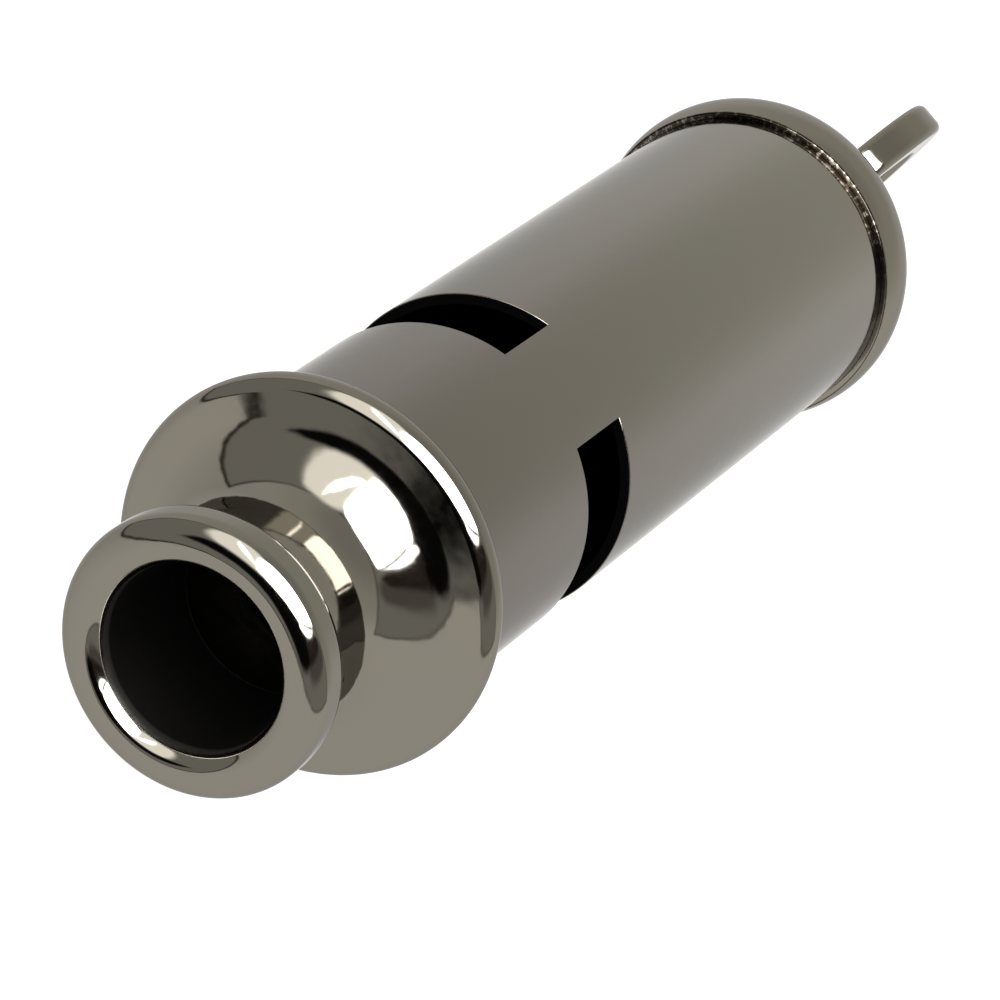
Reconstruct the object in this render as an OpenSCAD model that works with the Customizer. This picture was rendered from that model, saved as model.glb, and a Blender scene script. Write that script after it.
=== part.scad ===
// Tubular two-tone whistle: mouthpiece, windowed body tube, windway plug, divider, stops, cap and loop.
// Every piece is drawn along its own axis, from the front of the mouth lip, and then laid along +Y.

/* [Body tube] */
// Outside diameter of the body tube
tube_d = 17.2; // [15.5:0.1:18]
// Wall of the body tube
tube_wall = 0.6; // [0.4:0.05:0.9]
// Length of tube between the flange and the cap
tube_len = 51.4; // [46:0.1:70]
// Distance from the flange to the near edge of the windows
window_from_flange = 12.6; // [11:0.1:15]
// Width of each window along the tube
window_w = 5; // [4.5:0.1:6]
// Arc that each window spans, in degrees
window_arc = 140; // [110:1:144]

/* [Mouthpiece] */
// Diameter of the mouth opening at the lip
mouth_d = 9.28; // [9:0.02:9.8]
// Widest diameter of the lip
lip_d = 14.2; // [13.8:0.1:15]
// Length of the lip along the axis
lip_len = 2.86; // [2.6:0.02:3.4]
// Radius of the rolled edges of the lip
lip_roll_r = 0.95; // [0.85:0.01:1]
// How far the front of the lip falls back between its inner and its outer roll
lip_step = 0.19; // [0.1:0.01:0.3]
// Outside diameter of the neck where the flare begins
neck_d = 10.3; // [10:0.05:10.9]
// Slope of the neck, which narrows towards the lip, in degrees
neck_slope = 2.7; // [1:0.1:4]
// Wall of the neck and the flare
mouthpiece_wall = 0.7; // [0.5:0.05:0.9]
// Width of the nearly flat face between the trumpet flare and the rim
face_w = 1.12; // [0.8:0.02:1.6]
// Backward slope of the flange face, in degrees
flange_slope = 12.6; // [8:0.2:16]
// How far the flange stands out beyond the tube
flange_proud = 1.65; // [1.5:0.05:2.5]
// Radius of the rounded rim of the flange
rim_r = 0.91; // [0.7:0.01:1.1]
// Length of the mouthpiece from the lip to the back of the flange
mouthpiece_len = 13.24; // [12.8:0.02:15]
// Length of the spigot that enters the tube
spigot_len = 4; // [2.5:0.25:5]
// Wall of the spigot
spigot_wall = 0.6; // [0.4:0.05:0.8]

/* [Sound parts] */
// Gap between the spigot and the plug, where the breath spreads out
plug_gap = 1.2; // [1:0.1:2]
// Height of each windway between the plug and the tube
windway_h = 0.9; // [0.6:0.05:1.2]
// Thickness of the divider plate
divider_t = 0.8; // [0.5:0.1:1.2]
// Length of the short chamber behind its window
high_chamber_len = 24; // [20:0.5:25]
// Length of the long chamber behind its window
low_chamber_len = 28; // [26:0.5:28.5]
// Thickness of the stops that close the chambers
stop_t = 1.5; // [1:0.1:2]

/* [End cap] */
// How far the cap's rim stands out beyond the tube
cap_proud = 0.64; // [0.5:0.01:1.5]
// Height of the flat front of the cap's rim above the tube
cap_face_h = 0.34; // [0.3:0.02:0.5]
// Radius of the rounded section of the cap's rim
cap_bead_r = 4; // [3.2:0.1:4.6]
// How far the tube enters the cap
cap_seat = 2.9; // [2.5:0.1:3.1]
// Thickness of the cap's crown
cap_wall = 0.8; // [0.6:0.05:1]
// Height of the domed crown above the rim
crown_h = 1.36; // [1.2:0.02:2.4]

/* [Lanyard loop] */
// Outside diameter of the loop's ring
loop_d = 15.54; // [13:0.02:18]
// Diameter of the loop's eye
eye_d = 10.8; // [9:0.1:11.4]
// Thickness of the ring
loop_t = 2; // [1.6:0.1:2.4]
// Rounding of the ring's outer edges
loop_round = 0.5; // [0.3:0.05:0.6]
// Rounding of the edges of the eye
eye_round = 0.3; // [0.2:0.05:0.4]
// Turn of the ring about the axis, as it was riveted, in degrees
loop_turn = 3; // [0:0.5:5]
// Diameter of the foot under the ring
foot_d = 4.4; // [4:0.1:5]
// Height of the foot
foot_h = 0.9; // [0.8:0.1:1.4]
// Diameter of the riveted tail
tail_d = 2.4; // [2:0.1:2.8]
// Diameter of the head that the tail is peened into
head_d = 3.8; // [3.4:0.1:4.2]
// Thickness of the peened head
head_t = 0.6; // [0.4:0.1:0.8]

/* [Hidden] */
$fn = 120;
// Clearance between pieces that are fitted into each other
fit = 0.02;
// Clearance of the riveted tail in the crown
tail_fit = 0.05;
// How far a cut runs past the face that it cuts
over = 1;
// How deep the ring is sunk into its foot
ring_sink = 0.35;
// Colours of the plated outside and the bare brass inside
plate_colour = "dimgray";
brass_colour = "darkgoldenrod";

// Radii that follow from the diameters
tube_r = tube_d / 2;
tube_bore_r = tube_r - tube_wall;
flange_d = tube_d + 2 * flange_proud;
cap_d = tube_d + 2 * cap_proud;
inner_r = tube_bore_r - fit;
mouth_r = mouth_d / 2;
neck_r = neck_d / 2;
neck_bore_r = neck_r - mouthpiece_wall;
spigot_r = inner_r;
spigot_bore_r = spigot_r - spigot_wall;
loop_r = loop_d / 2;
eye_r = eye_d / 2;

// Places along the axis, from the front of the lip
flange_back = mouthpiece_len;
spigot_end = flange_back + spigot_len;
plug_front = spigot_end + plug_gap;
window_near = flange_back + window_from_flange;
window_far = window_near + window_w;
cap_front = flange_back + tube_len;
tube_end = cap_front + cap_seat;
high_stop_at = window_far + high_chamber_len;
low_stop_at = window_far + low_chamber_len;

// The rim of the flange, and the straight face that is tangent to its front
rim_c = [flange_d / 2 - rim_r, flange_back - rim_r];
face_out = [sin(flange_slope), -cos(flange_slope)];
face_along = [cos(flange_slope), sin(flange_slope)];
face_rim = rim_c + rim_r * face_out;
// The flare is an arc tangent to the sloping neck and to that face
neck_out = [cos(neck_slope), -sin(neck_slope)];
face_flare_r = face_rim[0] - face_w;
flare_r = (face_flare_r - neck_r) / (neck_out[0] - face_out[0]);
face_flare = face_rim - face_along * (face_rim[0] - face_flare_r) / face_along[0];
flare_c = face_flare + flare_r * face_out;
neck_end = flare_c - flare_r * neck_out;

// The lip is rolled about three round centres: at the mouth, at its outer edge and behind that
lip_mouth_c = [mouth_r + lip_roll_r, lip_roll_r];
lip_edge_c = [lip_d / 2 - lip_roll_r, lip_roll_r + lip_step];
lip_back_c = [lip_d / 2 - lip_roll_r, lip_len - lip_roll_r];
lip_dir = (lip_edge_c - lip_mouth_c) / norm(lip_edge_c - lip_mouth_c);
lip_side = [lip_dir[1], -lip_dir[0]];
neck_lip_r = neck_r - (neck_end[1] - lip_len) * tan(neck_slope);

// The rounded section of the cap's rim starts at its flat front and ends where the dome begins
cap_fit_r = tube_r + fit;
cap_bead_c_r = cap_d / 2 - cap_bead_r;
cap_face_rise = tube_r + cap_face_h - cap_bead_c_r;
cap_fit_rise = cap_fit_r - cap_bead_c_r;
cap_bead_c = [cap_bead_c_r, cap_front + sqrt(cap_bead_r * cap_bead_r - cap_face_rise * cap_face_rise)];
cap_back = cap_bead_c[1] + sqrt(cap_bead_r * cap_bead_r - cap_fit_rise * cap_fit_rise);
crown_at = cap_back + crown_h;
crown_flat_r = foot_d / 2;
// The dome passes through the edge of the rim and the edge of its own flat seat
crown_c = (crown_flat_r * crown_flat_r + crown_at * crown_at - cap_fit_r * cap_fit_r - cap_back * cap_back)
          / (2 * crown_h);
crown_r = norm([cap_fit_r, cap_back - crown_c]);

// The loop stands on the crown
foot_end = crown_at + foot_h;
loop_c = foot_end - ring_sink + loop_r;
overall_len = loop_c + loop_r;

// Lays a piece along +Y, with the origin under the middle of the whistle, on the floor
module lay() {
    translate([0, -overall_len / 2, flange_d / 2])
        rotate([-90, 0, 0])
            children();
}

// A closed band of tube between two places
module band(r_out, r_in, from, to) {
    difference() {
        translate([0, 0, from])
            cylinder(r = r_out, h = to - from);
        translate([0, 0, from - over])
            cylinder(r = r_in, h = to - from + 2 * over);
    }
}

// A flat wedge about the X axis, wide enough to cut through the tube
module wedge_2d(half_angle) {
    reach = tube_d;
    polygon([[0, 0], [reach, -reach * tan(half_angle)], [reach, reach * tan(half_angle)]]);
}

// One window through the side at +X
module window_cut() {
    translate([0, 0, window_near])
        linear_extrude(window_w)
            wedge_2d(window_arc / 2);
}

module body_tube() {
    color(plate_colour)
        lay()
            difference() {
                band(tube_r, tube_bore_r, flange_back, tube_end);
                window_cut();
                mirror([1, 0, 0])
                    window_cut();
            }
}

// The rolled lip: three rounds, the straight stretches between them, and the web to the neck
module lip_2d() {
    for (c = [lip_mouth_c, lip_edge_c, lip_back_c])
        translate(c)
            circle(lip_roll_r);
    polygon([lip_mouth_c, lip_mouth_c + lip_roll_r * lip_side, lip_edge_c + lip_roll_r * lip_side,
             lip_edge_c + [lip_roll_r, 0], lip_back_c + [lip_roll_r, 0], lip_back_c]);
    polygon([lip_mouth_c, lip_edge_c, lip_back_c, [lip_back_c[0], lip_len], [neck_bore_r, lip_len],
             [mouth_r, lip_roll_r]]);
}

// The neck, the flare and the flange, as a solid of revolution before the bore is cut
module horn_2d() {
    polygon([[0, lip_len], [neck_lip_r, lip_len], neck_end, [0, neck_end[1]]]);
    difference() {
        polygon([[0, neck_end[1]], neck_end, flare_c, face_flare, face_rim, rim_c, [rim_c[0], flange_back],
                 [0, flange_back]]);
        translate(flare_c)
            circle(flare_r);
    }
    translate(rim_c)
        circle(rim_r);
    translate([0, flange_back - rim_r])
        square([spigot_r, spigot_len + rim_r]);
}

// The bore keeps one wall behind the neck and the flare
module horn_bore_2d() {
    square([neck_bore_r, flare_c[1]]);
    difference() {
        translate([0, flare_c[1]])
            square([spigot_bore_r, spigot_end + over - flare_c[1]]);
        translate(flare_c)
            circle(flare_r + mouthpiece_wall);
    }
}

module mouthpiece() {
    color(plate_colour)
        lay()
            rotate_extrude()
                union() {
                    difference() {
                        horn_2d();
                        horn_bore_2d();
                    }
                    lip_2d();
                }
}

// Half of the plug: a core that leaves the windway open, and ribs that reach the tube at the webs
module plug_half() {
    rib_half = 90 - window_arc / 2;
    translate([0, 0, plug_front])
        linear_extrude(window_near - plug_front)
            intersection() {
                union() {
                    circle(tube_bore_r - windway_h);
                    intersection() {
                        circle(inner_r);
                        for (turn = [90, -90])
                            rotate(turn)
                                wedge_2d(rib_half);
                    }
                }
                translate([divider_t / 2, -tube_d])
                    square([tube_d, 2 * tube_d]);
            }
}

module windway_plug_right() {
    color(brass_colour)
        lay()
            plug_half();
}

module windway_plug_left() {
    color(brass_colour)
        lay()
            mirror([1, 0, 0])
                plug_half();
}

module divider_plate() {
    color(brass_colour)
        lay()
            intersection() {
                translate([-divider_t / 2, -tube_d, plug_front])
                    cube([divider_t, 2 * tube_d, low_stop_at + stop_t - plug_front]);
                translate([0, 0, plug_front - over])
                    cylinder(r = inner_r, h = low_stop_at + stop_t - plug_front + 2 * over);
            }
}

// A half-round stop on the +X side of the divider
module stop_half(at) {
    intersection() {
        translate([0, 0, at])
            cylinder(r = inner_r, h = stop_t);
        translate([divider_t / 2, -tube_d, at - over])
            cube([tube_d, 2 * tube_d, stop_t + 2 * over]);
    }
}

module chamber_stop_high() {
    color(brass_colour)
        lay()
            stop_half(high_stop_at);
}

module chamber_stop_low() {
    color(brass_colour)
        lay()
            mirror([1, 0, 0])
                stop_half(low_stop_at);
}

// The cap's outer form: the rounded rim and the domed crown with a flat seat
module cap_2d() {
    intersection() {
        translate(cap_bead_c)
            circle(cap_bead_r);
        translate([cap_fit_r, cap_front])
            square([cap_d, cap_back - cap_front + over]);
    }
    intersection() {
        translate([0, crown_c])
            circle(crown_r);
        translate([0, tube_end])
            square([cap_fit_r, crown_at - tube_end]);
    }
}

// The hollow of the cap stops short of the seat that the tube's end rests on
module cap_hollow_2d() {
    intersection() {
        translate([0, crown_c])
            circle(crown_r - cap_wall);
        translate([0, tube_end - over])
            square([tube_bore_r, crown_at - cap_wall - tube_end + over]);
    }
}

module end_cap() {
    color(plate_colour)
        lay()
            rotate_extrude()
                difference() {
                    cap_2d();
                    cap_hollow_2d();
                    square([tail_d / 2 + tail_fit, crown_at + over]);
                }
}

// Section of the ring, with rounded edges
module ring_2d() {
    half = loop_t / 2;
    translate([eye_r, -half + eye_round])
        square([loop_round, loop_t - 2 * eye_round]);
    translate([eye_r + eye_round, -half])
        square([loop_r - loop_round - eye_r - eye_round, loop_t]);
    translate([loop_r - 2 * loop_round, -half + loop_round])
        square([2 * loop_round, loop_t - 2 * loop_round]);
    for (side = [-1, 1]) {
        translate([eye_r + eye_round, side * (half - eye_round)])
            circle(eye_round);
        translate([loop_r - loop_round, side * (half - loop_round)])
            circle(loop_round);
    }
}

module lanyard_loop() {
    color(plate_colour)
        lay()
            rotate([0, 0, -loop_turn])
                union() {
                    difference() {
                        translate([0, 0, crown_at])
                            cylinder(d = foot_d, h = foot_h);
                        translate([-foot_d, 0, loop_c])
                            rotate([0, 90, 0])
                                cylinder(r = eye_r + eye_round, h = 2 * foot_d);
                    }
                    translate([0, 0, loop_c])
                        rotate([0, 90, 0])
                            rotate_extrude()
                                ring_2d();
                    translate([0, 0, crown_at - cap_wall])
                        cylinder(d = tail_d, h = cap_wall + foot_h);
                    translate([0, 0, crown_at - cap_wall - head_t])
                        cylinder(d = head_d, h = head_t);
                }
}

body_tube();
mouthpiece();
windway_plug_right();
windway_plug_left();
divider_plate();
chamber_stop_high();
chamber_stop_low();
end_cap();
lanyard_loop();
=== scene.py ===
import math
from collections import namedtuple

import bmesh
import bpy
from mathutils import Matrix, Vector


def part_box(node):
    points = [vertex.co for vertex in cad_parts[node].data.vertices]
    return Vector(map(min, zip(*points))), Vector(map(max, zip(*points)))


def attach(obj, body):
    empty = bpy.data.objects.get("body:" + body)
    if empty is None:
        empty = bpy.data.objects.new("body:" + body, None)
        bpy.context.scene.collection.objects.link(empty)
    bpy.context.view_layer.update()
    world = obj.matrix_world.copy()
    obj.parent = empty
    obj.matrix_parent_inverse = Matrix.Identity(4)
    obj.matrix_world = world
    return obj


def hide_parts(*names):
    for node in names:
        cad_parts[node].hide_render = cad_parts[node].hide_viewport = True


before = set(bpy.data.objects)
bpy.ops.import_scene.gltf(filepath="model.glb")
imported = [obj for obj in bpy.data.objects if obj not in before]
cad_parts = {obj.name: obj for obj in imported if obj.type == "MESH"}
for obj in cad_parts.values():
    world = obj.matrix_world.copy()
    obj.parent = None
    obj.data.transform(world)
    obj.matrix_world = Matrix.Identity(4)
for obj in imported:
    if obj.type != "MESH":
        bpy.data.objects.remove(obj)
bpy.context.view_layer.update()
MM = 0.001

# Places and sizes that the frame gives
TUBE_LOW, TUBE_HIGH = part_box("body_tube")
MOUTH_LOW, MOUTH_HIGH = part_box("mouthpiece")
CAP_LOW, CAP_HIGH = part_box("end_cap")
LOOP_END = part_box("lanyard_loop")[1][1]
WINDOW_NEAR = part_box("windway_plug_right")[1][1]
AXIS_Z = (MOUTH_LOW[2] + MOUTH_HIGH[2]) / 2
LIP_Y = MOUTH_LOW[1]
TUBE_R = (TUBE_HIGH[0] - TUBE_LOW[0]) / 2
FLANGE_R = (MOUTH_HIGH[0] - MOUTH_LOW[0]) / 2
CAP_R = (CAP_HIGH[0] - CAP_LOW[0]) / 2

# Sizes of the mouthpiece. Each of the lip's bends has its first and last angle in degrees, and its radius
# in mm
MOUTH_R = 4.68 * MM
LIP_START = 0.915 * MM
LIP_BENDS = [(-180, -116, 0.9), (-116, -80, 1.05), (-80, -64, 2.4), (-64, 0, 1.06)]
LIP_BACK_R = 0.95 * MM
LIP_LEN = 2.86 * MM
NECK_R = 5.15 * MM
NECK_BORE_R = 4.45 * MM
NECK_SLOPE = math.radians(2.7)
FLARE_R = 4.18 * MM
FLARE_WALL = 0.7 * MM
FACE_SLOPE = math.radians(12.6)
RIM_R = 0.91 * MM
SPIGOT_LEN = 4.0 * MM
SPIGOT_WALL = 0.6 * MM
FIT = 0.02 * MM

# Sizes of the tube and its windows
TUBE_WALL = 0.6 * MM
WINDOW_W = 5.0 * MM
WINDOW_FAR = WINDOW_NEAR + WINDOW_W
WINDOW_HALF = math.radians(70)
CUT_EDGE = 0.05 * MM
CUT_EDGE_STEPS = 2
CUT_EDGE_ABOVE = math.radians(50)

# Sizes of the cap
CAP_FACE_H = 0.34 * MM
CAP_EDGE_R = 0.07 * MM
CAP_EDGE_INSET = 1.5 * CAP_EDGE_R
CAP_EDGE_END = math.radians(-30)
CAP_BEAD_R = 4.0 * MM
CAP_WALL = 0.8 * MM
CROWN_H = 1.36 * MM

# Sizes of the loop. The shares give the outlines of the foot and of the tail's head, in radius and height
RING_T = 2.0 * MM
EYE_R = 5.4 * MM
RING_ROUND = 0.5 * MM
EYE_ROUND = 0.3 * MM
RING_TURN = math.radians(3)
RING_SINK = 0.35 * MM
FOOT_R = 2.2 * MM
FOOT_H = 0.9 * MM
FOOT_SHARES = [(0, 0), (1, 0), (1, 0.55), (0.8, 0.85), (0, 1)]
RING_R = (LOOP_END - CAP_HIGH[1] - FOOT_H + RING_SINK) / 2
TAIL_R = 1.2 * MM
TAIL_FIT = 0.05 * MM
HEAD_R = 1.9 * MM
HEAD_T = 0.6 * MM
HEAD_SHARES = [(1, 0), (1, 0.6), (0.7, 1), (0, 1)]

# Fineness of the meshes: parts round each turned piece, and parts of the tube along it and round it
AROUND = 256
RING_AROUND = 192
STEM_AROUND = 96
ARC_STEP = math.radians(5)
TUBE_FRONT_PARTS = 9
WINDOW_WIDE_PARTS = 6
TUBE_REAR_PARTS = 36
WINDOW_ROUND_PARTS = 98
WEB_PARTS = 28
WELD = MM / 1000
SMOOTH_BELOW = math.radians(32)

# The photograph's camera: where it stands from the middle of the tube's front end, and how it is turned
CAMERA_PLACE = Vector((5.009, -214.735, 147.914)) * MM
CAMERA_AZIMUTH = math.radians(0.604)
CAMERA_ELEVATION = math.radians(32.576)
CAMERA_ROLL = math.radians(52.351)
SENSOR = 36.0
LENS = 194.54
CLIP_START = 1 * MM
CLIP_END = 10000 * MM

# Light levels of the studio, where 1 is white
NEAR_WALL = (0.94, 0.92, 0.85)
SIDE_WALL = (0.72, 0.71, 0.65)
BACK_WALL = (1.0, 0.99, 0.96)
TOP_WALL = (0.64, 0.63, 0.55)
FAR_WALL = (0.47, 0.46, 0.42)
FRAME_LINE = (0.06, 0.055, 0.045)
ROOM = (0.42, 0.42, 0.38)
SHADE = (0.11, 0.09, 0.08)
DUSK = (0.05, 0.038, 0.03)
BLACK = (0.006, 0.006, 0.006)
GLOW = (2.6, 2.55, 2.35)
LAMP = (18.0, 18.0, 18.0)
WHITE = (1.0, 1.0, 1.0)
FRAME_FAINT = 0.7
SHADE_DEPTH = 0.75

# Edges of the walls and of the opening, in the studio's axes. Each has the direction that it is measured
# along, how far the sky may lean along it, and how soft the edge is
RIGHT = Vector((1, 0, 0))
DOWN = Vector((0, 1, 0))
BACK = Vector((0, 0, 1))
UNDER = Vector((-0.677, 0.501, -0.539))
NEAR_SIDE = Vector((-0.399, 0.656, -0.641))
FAR_SIDE = Vector((0.556, -0.588, -0.588))
SIDE_EDGE = (DOWN, -0.05, 0.6)
BACK_EDGE = (BACK, -0.6, 0.22)
TOP_EDGE = (UNDER, -0.36, 0.26)
FAR_EDGE = (UNDER, -0.8, 0.2)
OPENING_EDGES = [(NEAR_SIDE, 0.092, 0.015), (FAR_SIDE, 0.243, 0.03)]
FRAME_EDGES = [(NEAR_SIDE, 0.13, 0.015), (FAR_SIDE, 0.28, 0.03)]
FRAME_FADE = (RIGHT, -0.45, 0.2)

# Patches of the studio's sky, in degrees right of and below the way back to the camera. How soft each kind is
# comes after its patches
SHADE_PATCH = [(-2, 26), (57, 6), (68, 8), (68, 24), (52, 36), (22, 44), (-4, 43)]
SHADE_SOFT = 0.1
DUSK_PATCHES = [[(-4, 19), (24, 17), (24, 28), (0, 37)],
                [(8, 21), (50, 6), (60, 6), (52, 18), (8, 34)]]
DUSK_SOFT = 0.05
BLACK_PATCHES = [[(-53, -5), (-43, -11), (-30, -4), (-16, 8), (-24, 24), (-31, 23), (-40, 13), (-49, 3)],
                 [(-31, 0), (-6, 10), (2, 20), (3, 34), (-8, 40), (-21, 39), (-30, 29), (-34, 17)]]
BLACK_SOFT = 0.05
GLOW_PATCHES = [[(-38, -12), (-34, -32), (-28, -50), (-15, -64), (4, -63), (17, -55), (20, -20), (0, 8),
                 (-22, 5), (-34, -5)]]
GLOW_SOFT = 0.08
LAMP_PATCHES = [[(-22, 1), (-8, -18), (10, -40), (24, -43), (34, -38), (44, -29), (55, -9), (56, -3), (43, 8),
                 (14, 13), (3, 16), (-6, 13), (-14, 9)],
                [(-21, -8), (-12, -31), (-6, -54), (1, -57), (-4, -34), (-14, -10)],
                [(2, 17), (14, 13), (47, 4), (55, -2), (55, 4), (44, 11), (24, 16), (8, 21), (0, 20)]]
LAMP_SOFT = 0.03
LAMP_GAPS = [[(11, 11), (46, 2), (47, 4), (13, 13)]]
GAP_SOFT = 0.012

# The floor
FLOOR_HALF = 1500 * MM
FLOOR_PARTS = 4
FLOOR_PAINT = (0.9, 0.9, 0.9)
FLOOR_GLOW = 0.85

# Plated colours. A bore's painted shade is full inside one radius and gone outside the other. A far colour
# takes over from one place along the whistle to another, as painted shade on the tube and the divider. The
# soot at the cap's seam, partly painted shade in the joint, is full at one place and gone at another, and a
# spot of it is full at one level of noise and gone at another
PaintedBoreShade = namedtuple("PaintedBoreShade", "full none tone")
Far = namedtuple("Far", "colour start end")
StainAndShade = namedtuple("StainAndShade", "full none spot_full spot_none")
NICKEL = (0.265, 0.25, 0.223)
TUBE_NICKEL = (0.226, 0.207, 0.192)
CAP_NICKEL = (0.275, 0.258, 0.228)
LOOP_NICKEL = (0.25, 0.235, 0.2)
# Soot colour at the cap's seam, which also stands in for painted shade in the joint
SEAM_SOOT_AND_SHADE = (0.05, 0.042, 0.033)
# Painted shade: the brass inside the tube is coloured near black, so the windows and the mouth look dark
INNER_BRASS_PAINTED_DARK = (0.004, 0.004, 0.003)
GRAZING = (0.6, 0.6, 0.6)
# Painted shade: near black in the mouthpiece's bore, and on the tube's inner skin and window edges
MOUTH_BORE_SHADE = PaintedBoreShade(MOUTH_R - 0.03 * MM, MOUTH_R + 0.12 * MM, (0.008, 0.0075, 0.007))
TUBE_BORE_SHADE = PaintedBoreShade(TUBE_R - 0.06 * MM, TUBE_R - 0.02 * MM, (0.002, 0.002, 0.002))
# Painted shade along the tube: TUBE_NICKEL, darker near the mouthpiece's flange, goes over to this lighter
# colour at the cap
TUBE_PAINTED_SHADE_FADE = Far((0.32, 0.306, 0.277), TUBE_LOW[1], TUBE_HIGH[1])
# Painted shade on the divider: near black towards the mouth, a dark brass from the windows on
DIVIDER_PAINTED_SHADE_FADE = Far((0.12, 0.1, 0.065), WINDOW_NEAR - 1 * MM, WINDOW_NEAR)
# Soot at the cap's seam, partly painted shade in the joint between cap and tube; it fades out towards the
# right side
CAP_SEAM_STAIN_AND_SHADE = StainAndShade(CAP_LOW[1] + 0.05 * MM, CAP_LOW[1] + 0.1 * MM, 0.52, 0.64)
TUBE_SEAM_STAIN_AND_SHADE = StainAndShade(CAP_LOW[1] - 0.3 * MM, CAP_LOW[1] - 0.55 * MM, 0.6, 0.75)
STAIN_AND_SHADE_SIDE = (3 * MM, 8 * MM)

# Texture of the plating: scale and detail of each noise, and what it changes
CLOUDS = (180.0, 3.0)
WARM = (1.04, 0.99, 0.98)
COOL = (0.96, 1.01, 1.02)
WIPING = (2600.0, 4.0)
WIPING_LEVELS = (0.3, 0.7)
HAZE_SHARES = (0.7, 1.3)
SPOTS = (3400.0, 3.0)
RIPPLE = (900.0, 1.0)
RIPPLE_H = 0.02 * MM
BORE_HAZE = 0.5
SEAM_HAZE = 0.1


def arc(centre, radius, start, end):
    """Points of an arc in the plane of radius and length, from one angle to another."""
    steps = max(2, math.ceil(abs(end - start) / ARC_STEP))
    turns = [start + (end - start) * i / steps for i in range(steps + 1)]
    return [(centre[0] + radius * math.cos(a), centre[1] + radius * math.sin(a)) for a in turns]


def bends(start, turns):
    """Points of a chain of arcs that run smoothly into each other, each with two angles and a radius."""
    points = [start]
    for first, last, radius in turns:
        a, b, r = math.radians(first), math.radians(last), radius * MM
        centre = (points[-1][0] - r * math.cos(a), points[-1][1] - r * math.sin(a))
        points += arc(centre, r, a, b)[1:]
    return points


def add_object(name, bm, cad_node=None):
    """Makes a piece from a mesh, smooth where its faces meet at small angles."""
    bmesh.ops.remove_doubles(bm, verts=bm.verts, dist=WELD)
    bmesh.ops.recalc_face_normals(bm, faces=bm.faces)
    mesh = bpy.data.meshes.new(name)
    bm.to_mesh(mesh)
    bm.free()
    piece = bpy.data.objects.new(name, mesh)
    bpy.context.scene.collection.objects.link(piece)
    mesh.polygons.foreach_set("use_smooth", [True] * len(mesh.polygons))
    mesh.set_sharp_from_angle(angle=SMOOTH_BELOW)
    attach(piece, "root")
    if cad_node:
        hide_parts(cad_node)
    return piece


def lathe(name, outline, cad_node=None, place=None, around=AROUND):
    """Turns a closed outline of radius and length about the whistle's axis, or about the axis of a place."""
    place = place or Matrix.Translation((0, LIP_Y, AXIS_Z))
    bm = bmesh.new()
    rings = []
    for i in range(around):
        a = 2 * math.pi * i / around
        ring = [place @ Vector((r * math.sin(a), t, r * math.cos(a))) for r, t in outline]
        rings.append([bm.verts.new(point) for point in ring])
    count = len(outline)
    for i in range(around):
        one, two = rings[i], rings[(i + 1) % around]
        for j in range(count):
            k = (j + 1) % count
            bm.faces.new((one[j], one[k], two[k], two[j]))
    return add_object(name, bm, cad_node)


def mouthpiece():
    """Rolled lip, neck, trumpet flare and flange, with the spigot that enters the tube."""
    back = TUBE_LOW[1] - LIP_Y
    rim = (FLANGE_R - RIM_R, back - RIM_R)
    face_turn = FACE_SLOPE - math.pi / 2
    face_out = (math.sin(FACE_SLOPE), -math.cos(FACE_SLOPE))
    flare_r = NECK_R + FLARE_R * math.cos(NECK_SLOPE)
    face_start_r = flare_r - FLARE_R * face_out[0]
    rim_start = (rim[0] + RIM_R * face_out[0], rim[1] + RIM_R * face_out[1])
    face_start_t = rim_start[1] - math.tan(FACE_SLOPE) * (rim_start[0] - face_start_r)
    flare = (flare_r, face_start_t + FLARE_R * face_out[1])
    neck_end = flare[1] + FLARE_R * math.sin(NECK_SLOPE)
    spigot_r = TUBE_R - TUBE_WALL - FIT
    spigot_bore_r = spigot_r - SPIGOT_WALL
    inner_flare_r = FLARE_R + FLARE_WALL
    inner_start = math.acos((spigot_bore_r - flare[0]) / inner_flare_r)
    inner_end = math.acos((NECK_BORE_R - flare[0]) / inner_flare_r)
    outline = bends((MOUTH_R, LIP_START), LIP_BENDS)
    rear = (outline[-1][0] - LIP_BACK_R, LIP_LEN - LIP_BACK_R)
    outline += arc(rear, LIP_BACK_R, 0, math.pi / 2)
    outline += [(NECK_R - math.tan(NECK_SLOPE) * (neck_end - LIP_LEN), LIP_LEN)]
    outline += arc(flare, FLARE_R, math.pi - NECK_SLOPE, math.pi / 2 + FACE_SLOPE)
    outline += arc(rim, RIM_R, face_turn, math.pi / 2)
    outline += [(spigot_r, back), (spigot_r, back + SPIGOT_LEN), (spigot_bore_r, back + SPIGOT_LEN)]
    outline += arc(flare, inner_flare_r, inner_start, inner_end)
    outline += [(NECK_BORE_R, LIP_LEN)]
    return lathe("mouthpiece_turned", outline, "mouthpiece")


def stops(start, end, parts):
    """Evenly spaced stops from start up to, but without, end."""
    return [start + (end - start) * i / parts for i in range(parts)]


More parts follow.
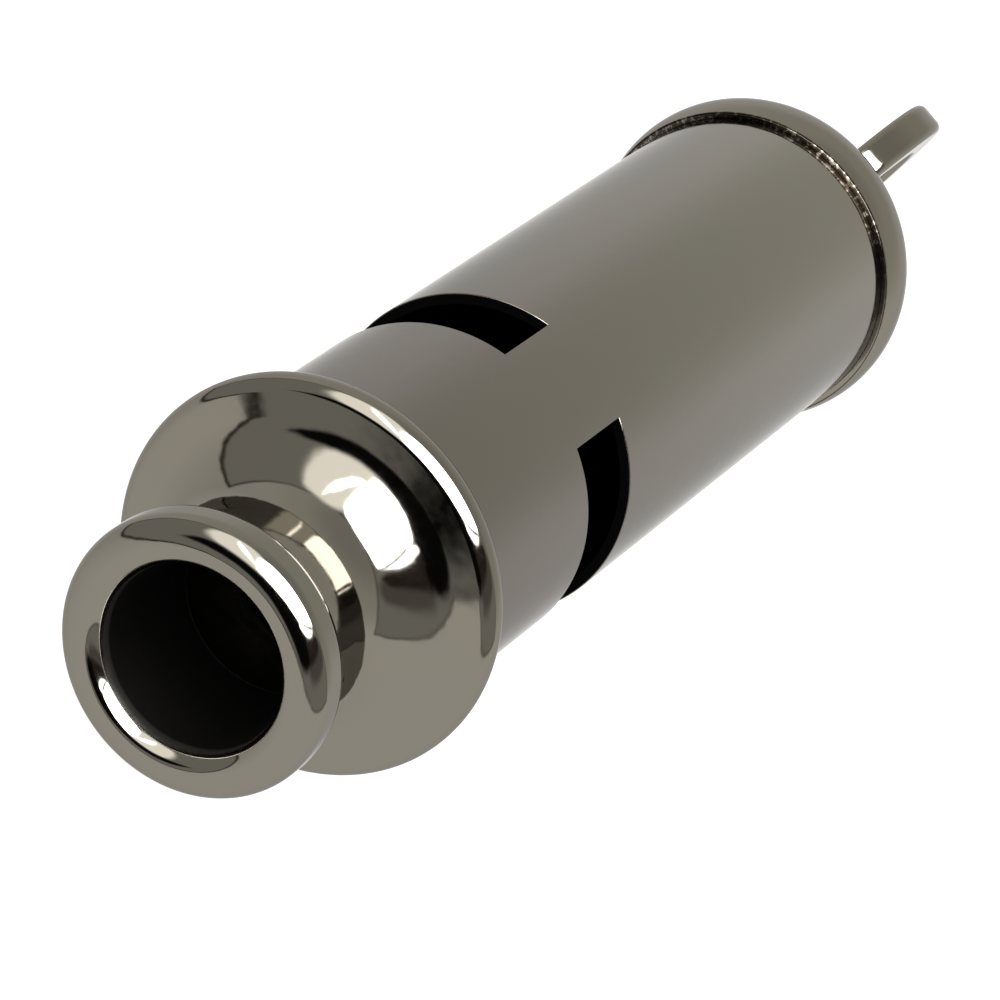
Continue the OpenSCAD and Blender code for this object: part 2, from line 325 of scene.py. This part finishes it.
def body_tube():
    """The drawn tube, its two windows cut through and their edges just broken."""
    ys = [TUBE_LOW[1]]
    for start, end, parts in ((TUBE_LOW[1], WINDOW_NEAR, TUBE_FRONT_PARTS),
                              (WINDOW_NEAR, WINDOW_FAR, WINDOW_WIDE_PARTS),
                              (WINDOW_FAR, TUBE_HIGH[1], TUBE_REAR_PARTS)):
        ys += stops(start, end, parts)[1:] + [end]
    web = math.pi / 2 - WINDOW_HALF
    turns, windows = [], []
    for start, end, parts, cut in ((-web, web, WEB_PARTS, False),
                                   (web, math.pi - web, WINDOW_ROUND_PARTS, True),
                                   (math.pi - web, math.pi + web, WEB_PARTS, False),
                                   (math.pi + web, 2 * math.pi - web, WINDOW_ROUND_PARTS, True)):
        turns += stops(start, end, parts)
        windows += [cut] * parts
    around, along = len(turns), len(ys)
    bm = bmesh.new()

    def shell(radius):
        """The points of one skin of the tube."""
        circle = [(radius * math.sin(a), AXIS_Z + radius * math.cos(a)) for a in turns]
        return [[bm.verts.new((x, y, z)) for y in ys] for x, z in circle]

    outer, inner = shell(TUBE_R), shell(TUBE_R - TUBE_WALL)

    def open_cell(i, j):
        """Whether a cell of the tube lies in a window."""
        middle = (ys[j] + ys[j + 1]) / 2
        return windows[i % around] and WINDOW_NEAR < middle < WINDOW_FAR

    def wall(a, b):
        """A face through the wall, between two neighbouring points."""
        bm.faces.new((outer[a[0]][a[1]], outer[b[0]][b[1]], inner[b[0]][b[1]], inner[a[0]][a[1]]))

    for i in range(around):
        k = (i + 1) % around
        wall((i, 0), (k, 0))
        wall((i, along - 1), (k, along - 1))
        for j in range(along - 1):
            if open_cell(i, j):
                continue
            for skin in (outer, inner):
                bm.faces.new((skin[i][j], skin[k][j], skin[k][j + 1], skin[i][j + 1]))
            if open_cell(i - 1, j):
                wall((i, j), (i, j + 1))
            if open_cell(i + 1, j):
                wall((k, j), (k, j + 1))
            if j + 1 < along - 1 and open_cell(i, j + 1):
                wall((i, j + 1), (k, j + 1))
            if j > 0 and open_cell(i, j - 1):
                wall((i, j), (k, j))
    piece = add_object("body_tube_drawn", bm, "body_tube")
    edge = piece.modifiers.new("cut edges", "BEVEL")
    edge.width = CUT_EDGE
    edge.segments = CUT_EDGE_STEPS
    edge.limit_method = "ANGLE"
    edge.angle_limit = CUT_EDGE_ABOVE
    edge.harden_normals = True
    return piece


def end_cap():
    """Pressed cap: a rim with a low flat front and a rounded side, and a low domed crown."""
    bead_c = CAP_R - CAP_BEAD_R
    hold_r = TUBE_R + FIT
    front = CAP_LOW[1] - LIP_Y
    crown = CAP_HIGH[1] - LIP_Y
    edge_turn = math.asin((TUBE_R + CAP_FACE_H - bead_c) / CAP_BEAD_R)
    bead_t = front + CAP_BEAD_R * math.cos(edge_turn)
    back_turn = math.acos((hold_r - bead_c) / CAP_BEAD_R)
    back = crown - CROWN_H
    centre = (FOOT_R ** 2 + crown ** 2 - hold_r ** 2 - back ** 2) / (2 * CROWN_H)
    crown_r = math.hypot(hold_r, back - centre)
    seat = TUBE_HIGH[1] - LIP_Y
    hollow_r = crown_r - CAP_WALL
    ceiling = crown - CAP_WALL
    flat_r = math.sqrt(hollow_r ** 2 - (ceiling - centre) ** 2)
    hole_r = TAIL_R + TAIL_FIT
    inner_r = TUBE_R - TUBE_WALL
    corner = (TUBE_R + CAP_FACE_H - CAP_EDGE_INSET, front + CAP_EDGE_R)
    outline = arc(corner, CAP_EDGE_R, -math.pi / 2, CAP_EDGE_END)
    outline += arc((bead_c, bead_t), CAP_BEAD_R, edge_turn - math.pi / 2, back_turn)
    outline += arc((0, centre), crown_r, math.acos(hold_r / crown_r), math.acos(FOOT_R / crown_r))
    outline += [(hole_r, crown), (hole_r, ceiling)]
    outline += arc((0, centre), hollow_r, math.acos(flat_r / hollow_r), math.acos(inner_r / hollow_r))
    outline += [(inner_r, seat), (hold_r, seat), (hold_r, front)]
    return lathe("end_cap_pressed", outline, "end_cap")


def loop_ring():
    """Flat ring with rounded edges, turned slightly about the whistle's axis."""
    centre_y = CAP_HIGH[1] + FOOT_H - RING_SINK + RING_R
    turn = Matrix.Rotation(-RING_TURN, 4, "Y")
    place = Matrix.Translation((0, centre_y, AXIS_Z)) @ turn @ Matrix.Rotation(math.pi / 2, 4, "Z")
    half = RING_T / 2
    eye_c, rim_c = EYE_R + EYE_ROUND, RING_R - RING_ROUND
    outline = arc((rim_c, half - RING_ROUND), RING_ROUND, math.pi / 2, 0)
    outline += arc((rim_c, RING_ROUND - half), RING_ROUND, 0, -math.pi / 2)
    outline += arc((eye_c, EYE_ROUND - half), EYE_ROUND, -math.pi / 2, -math.pi)
    outline += arc((eye_c, half - EYE_ROUND), EYE_ROUND, math.pi, math.pi / 2)
    return lathe("loop_ring", outline, "lanyard_loop", place, RING_AROUND)


def lanyard_loop():
    """The ring, on a short foot with a riveted tail."""
    stem = Matrix.Translation((0, CAP_HIGH[1], AXIS_Z))
    foot = [(FOOT_R * r, FOOT_H * t) for r, t in FOOT_SHARES]
    tail = [(0, 0), (TAIL_R, 0), (TAIL_R, -CAP_WALL)]
    tail += [(HEAD_R * r, -CAP_WALL - HEAD_T * t) for r, t in HEAD_SHARES]
    return [loop_ring(),
            lathe("loop_foot", foot, None, stem, STEM_AROUND),
            lathe("loop_tail", tail, None, stem, STEM_AROUND)]


def camera_turn():
    """How the photograph's camera is turned."""
    level = math.cos(CAMERA_ELEVATION)
    look = Vector((-math.sin(CAMERA_AZIMUTH) * level, math.cos(CAMERA_AZIMUTH) * level,
                   -math.sin(CAMERA_ELEVATION)))
    upright = look.to_track_quat("-Z", "Y").to_matrix().to_4x4()
    return (upright @ Matrix.Rotation(CAMERA_ROLL, 4, "Z")).to_3x3()


def camera():
    """The camera that took the photograph."""
    data = bpy.data.cameras.new("camera")
    data.sensor_width = SENSOR
    data.lens = LENS
    data.clip_start = CLIP_START
    data.clip_end = CLIP_END
    cam = bpy.data.objects.new("camera", data)
    place = Vector((0, TUBE_LOW[1], AXIS_Z)) + CAMERA_PLACE
    cam.matrix_world = Matrix.Translation(place) @ camera_turn().to_4x4()
    bpy.context.scene.collection.objects.link(cam)
    bpy.context.scene.camera = cam


def node(tree, kind, inputs=None, **settings):
    """Adds a node, sets its options and fills or links its inputs."""
    made = tree.nodes.new(kind)
    for key, value in settings.items():
        setattr(made, key, value)
    for key, value in (inputs or {}).items():
        fill(tree, made.inputs[key], value)
    return made


def fill(tree, socket, value):
    """Links a socket to another one, or sets its value."""
    if isinstance(value, bpy.types.NodeSocket):
        tree.links.new(value, socket)
    else:
        socket.default_value = value


def maths(tree, operation, first, second):
    """One step of arithmetic."""
    return node(tree, "ShaderNodeMath", {0: first, 1: second}, operation=operation).outputs[0]


def vector(tree, operation, first, second=None):
    """One step of arithmetic with directions or places."""
    inputs = {0: first} if second is None else {0: first, 1: second}
    return node(tree, "ShaderNodeVectorMath", inputs, operation=operation).outputs


def opaque(shade):
    """A shade's three numbers with a full fourth one."""
    return (*shade, 1)


def mix(tree, factor, low, high):
    """Goes from one number to another, or from one colour to another."""
    number = isinstance(low, (int, float))
    kind, first, out = ("FLOAT", 2, 0) if number else ("RGBA", 6, 2)
    made = node(tree, "ShaderNodeMix", {"Factor": factor}, data_type=kind, clamp_factor=True)
    for socket, value in ((made.inputs[first], low), (made.inputs[first + 1], high)):
        fill(tree, socket, opaque(value) if isinstance(value, tuple) else value)
    return made.outputs[out]


def noise(tree, place, scale, detail):
    """Cloudy noise, mostly between 0.3 and 0.7."""
    made = node(tree, "ShaderNodeTexNoise", {"Vector": place, "Scale": scale, "Detail": detail})
    return made.outputs["Fac"]


def fall(tree, socket, full, none):
    """1 up to where a value is full, and evenly down to 0 where it is none."""
    return node(tree, "ShaderNodeMapRange", {0: socket, 1: full, 2: none, 3: 1.0, 4: 0.0}).outputs[0]


def sky_ray(across, down):
    """The direction that lies so many degrees right of and below the way back to the camera."""
    turn = math.hypot(across, down)
    out = math.sin(math.radians(turn)) / turn
    return Vector((out * across, out * down, math.cos(math.radians(turn))))


class Studio:
    """A light tent with one opening, drawn on the sky. Each shape is a soft mask over directions."""

    def __init__(self):
        world = bpy.data.worlds.new("studio")
        world.use_nodes = True
        bpy.context.scene.world = world
        self.tree = world.node_tree
        self.tree.nodes.clear()
        look = camera_turn()
        self.axes = (look.col[0], -look.col[1], look.col[2])
        place = node(self.tree, "ShaderNodeTexCoord").outputs["Generated"]
        self.way = vector(self.tree, "NORMALIZE", place)[0]

    def along(self, direction):
        """How far the sky's direction leans along one direction, which is given in the studio's axes."""
        to = sum((axis * part for axis, part in zip(self.axes, direction)), Vector()).normalized()
        return vector(self.tree, "DOT_PRODUCT", self.way, to)["Value"]

    def below(self, direction, edge, soft):
        """1 where the sky leans less than edge along a direction, and 0 past it."""
        made = node(self.tree, "ShaderNodeMapRange",
                    {0: self.along(direction), 1: edge - soft, 2: edge + soft, 3: 1.0, 4: 0.0},
                    interpolation_type="SMOOTHSTEP")
        return made.outputs[0]

    def patch(self, corners, soft):
        """1 inside a convex patch, whose corners are given in order round it."""
        rays = [sky_ray(*corner) for corner in corners]
        middle = sum(rays, Vector()).normalized()
        inside = None
        for one, two in zip(rays, rays[1:] + rays[:1]):
            side = one.cross(two).normalized()
            if side.dot(middle) > 0:
                side = -side
            mask = self.below(side, 0.0, soft)
            inside = mask if inside is None else maths(self.tree, "MULTIPLY", inside, mask)
        return inside


def studio():
    """Pale tent walls, and an opening with a thin dark frame, a dark room behind it and one lamp."""
    sky = Studio()
    tree = sky.tree
    opening = maths(tree, "MULTIPLY", *[sky.below(*edge) for edge in OPENING_EDGES])
    framed = maths(tree, "MULTIPLY", *[sky.below(*edge) for edge in FRAME_EDGES])
    framed = maths(tree, "MULTIPLY", framed, mix(tree, sky.below(*FRAME_FADE), FRAME_FAINT, 1.0))
    shaded = maths(tree, "MULTIPLY", sky.patch(SHADE_PATCH, SHADE_SOFT), SHADE_DEPTH)
    value = mix(tree, sky.below(*SIDE_EDGE), NEAR_WALL, SIDE_WALL)
    for mask, shade in ((sky.below(*BACK_EDGE), BACK_WALL), (sky.below(*TOP_EDGE), TOP_WALL),
                        (sky.below(*FAR_EDGE), FAR_WALL), (framed, FRAME_LINE), (opening, ROOM),
                        (shaded, SHADE)):
        value = mix(tree, mask, value, shade)
    for patches, soft, shade in ((DUSK_PATCHES, DUSK_SOFT, DUSK), (BLACK_PATCHES, BLACK_SOFT, BLACK),
                                 (GLOW_PATCHES, GLOW_SOFT, GLOW), (LAMP_PATCHES, LAMP_SOFT, LAMP),
                                 (LAMP_GAPS, GAP_SOFT, ROOM)):
        for corners in patches:
            value = mix(tree, sky.patch(corners, soft), value, shade)
    rays = node(tree, "ShaderNodeLightPath").outputs
    seen = mix(tree, rays["Is Camera Ray"], value, WHITE)
    sent = node(tree, "ShaderNodeBackground", {"Color": seen, "Strength": 1.0})
    node(tree, "ShaderNodeOutputWorld", {"Surface": sent.outputs[0]})


def plated(name, colour, rough, grain, wave, bore=None, far=None, stain_and_shade=None):
    """Polished plating: a metal with faint clouds of colour, fine wiping marks and a slight ripple.

    It can have painted shade towards the axis inside a bore, a far colour that takes over along the whistle,
    which is painted shade on the tube and the divider, and soot at the cap's seam that is partly painted
    shade in the joint and fades out towards the right side."""
    made = bpy.data.materials.new(name)
    made.use_nodes = True
    tree = made.node_tree
    tree.nodes.clear()
    place = node(tree, "ShaderNodeTexCoord").outputs["Object"]
    parts = node(tree, "ShaderNodeSeparateXYZ", {0: place}).outputs
    clouds = noise(tree, place, *CLOUDS)
    wiping = noise(tree, place, *WIPING)

    def cloudy(shade):
        """A shade that drifts between a warmer and a cooler one."""
        warm, cool = (tuple(level * part for level, part in zip(shade, turn)) for turn in (WARM, COOL))
        return mix(tree, clouds, warm, cool)

    tint = cloudy(colour)
    if far:
        # Painted shade along the whistle: the far colour takes over
        tint = mix(tree, fall(tree, parts["Y"], far.start, far.end), cloudy(far.colour), tint)
    haze = node(tree, "ShaderNodeMapRange", {0: wiping, 1: WIPING_LEVELS[0], 2: WIPING_LEVELS[1],
                                             3: rough * HAZE_SHARES[0], 4: rough * HAZE_SHARES[1]}).outputs[0]
    # Painted shade: near black towards the axis inside a bore, with more haze
    if bore:
        from_axis = vector(tree, "SUBTRACT", place, (0, 0, AXIS_Z))[0]
        across = vector(tree, "MULTIPLY", from_axis, (1, 0, 1))[0]
        inside = fall(tree, vector(tree, "LENGTH", across)["Value"], bore.full, bore.none)
        tint = mix(tree, inside, tint, bore.tone)
        haze = maths(tree, "ADD", haze, maths(tree, "MULTIPLY", inside, BORE_HAZE))
    # Soot at the cap's seam, partly painted shade in the joint, fading out towards the right side
    if stain_and_shade:
        seam = fall(tree, parts["Y"], stain_and_shade.full, stain_and_shade.none)
        marked = maths(tree, "MULTIPLY", seam, fall(tree, parts["X"], *STAIN_AND_SHADE_SIDE))
        spots = fall(tree, noise(tree, place, *SPOTS), stain_and_shade.spot_full, stain_and_shade.spot_none)
        tint = mix(tree, maths(tree, "MULTIPLY", marked, spots), tint, SEAM_SOOT_AND_SHADE)
        haze = maths(tree, "ADD", haze, maths(tree, "MULTIPLY", marked, SEAM_HAZE))
    ripple = maths(tree, "MULTIPLY", noise(tree, place, *RIPPLE), wave)
    height = maths(tree, "ADD", ripple, maths(tree, "MULTIPLY", wiping, grain))
    bump = node(tree, "ShaderNodeBump", {"Height": height, "Strength": 1.0, "Distance": RIPPLE_H})
    shader = node(tree, "ShaderNodeBsdfPrincipled",
                  {"Base Color": tint, "Roughness": haze, "Metallic": 1.0, "Specular Tint": opaque(GRAZING),
                   "Normal": bump.outputs[0]})
    node(tree, "ShaderNodeOutputMaterial", {"Surface": shader.outputs[0]})
    return made


def floor_material():
    """Paint that looks white to the camera, keeps a faint shadow and isn't mirrored in the metal."""
    made = bpy.data.materials.new("floor")
    made.use_nodes = True
    tree = made.node_tree
    tree.nodes.clear()
    rays = node(tree, "ShaderNodeLightPath").outputs
    paint = node(tree, "ShaderNodeBsdfDiffuse", {"Color": opaque(FLOOR_PAINT)})
    glow = node(tree, "ShaderNodeEmission", {"Color": opaque(WHITE), "Strength": 1.0})
    clear = node(tree, "ShaderNodeBsdfTransparent")
    lit = maths(tree, "MULTIPLY", rays["Is Camera Ray"], FLOOR_GLOW)
    seen = node(tree, "ShaderNodeMixShader", {0: lit, 1: paint.outputs[0], 2: glow.outputs[0]})
    out = node(tree, "ShaderNodeMixShader",
               {0: rays["Is Glossy Ray"], 1: seen.outputs[0], 2: clear.outputs[0]})
    node(tree, "ShaderNodeOutputMaterial", {"Surface": out.outputs[0]})
    return made


def floor():
    """Wide pale floor that the whistle lies on."""
    bm = bmesh.new()
    bmesh.ops.create_grid(bm, x_segments=FLOOR_PARTS, y_segments=FLOOR_PARTS, size=FLOOR_HALF)
    mesh = bpy.data.meshes.new("floor")
    bm.to_mesh(mesh)
    bm.free()
    plane = bpy.data.objects.new("floor", mesh)
    bpy.context.scene.collection.objects.link(plane)
    mesh.materials.append(floor_material())


def dress(piece, material):
    """Gives a piece one material."""
    piece.data.materials.clear()
    piece.data.materials.append(material)


def dress_nodes(names, material):
    """Gives CAD nodes that stay in view a material in their own slots."""
    for name in names:
        for slot in bpy.data.objects[name].material_slots:
            slot.material = material


bpy.context.scene.view_settings.view_transform = "Standard"
camera()
studio()
floor()

# Materials
TUBE_PLATE = plated("tube plating", TUBE_NICKEL, rough=0.1, grain=0.03, wave=0.3,
                    bore=TUBE_BORE_SHADE, far=TUBE_PAINTED_SHADE_FADE, stain_and_shade=TUBE_SEAM_STAIN_AND_SHADE)
MOUTH_PLATE = plated("mouthpiece plating", NICKEL, rough=0.06, grain=0.02, wave=0.3, bore=MOUTH_BORE_SHADE)
CAP_PLATE = plated("cap plating", CAP_NICKEL, rough=0.06, grain=0.03, wave=0.6, stain_and_shade=CAP_SEAM_STAIN_AND_SHADE)
LOOP_PLATE = plated("loop plating", LOOP_NICKEL, rough=0.06, grain=0.03, wave=0.4)
# Brass inside the tube, coloured near black as painted shade
INSIDE_BRASS_PAINTED_DARK = plated("inner brass painted dark", INNER_BRASS_PAINTED_DARK, rough=0.5, grain=0.5, wave=0.5)
DIVIDER_PLATE = plated("divider brass painted dark", INNER_BRASS_PAINTED_DARK, rough=0.5, grain=0.5, wave=0.5, far=DIVIDER_PAINTED_SHADE_FADE)

# Pieces
dress(body_tube(), TUBE_PLATE)
dress(mouthpiece(), MOUTH_PLATE)
dress(end_cap(), CAP_PLATE)
for part in lanyard_loop():
    dress(part, LOOP_PLATE)
dress_nodes(["windway_plug_right", "windway_plug_left", "chamber_stop_high", "chamber_stop_low"], INSIDE_BRASS_PAINTED_DARK)
dress_nodes(["divider_plate"], DIVIDER_PLATE)
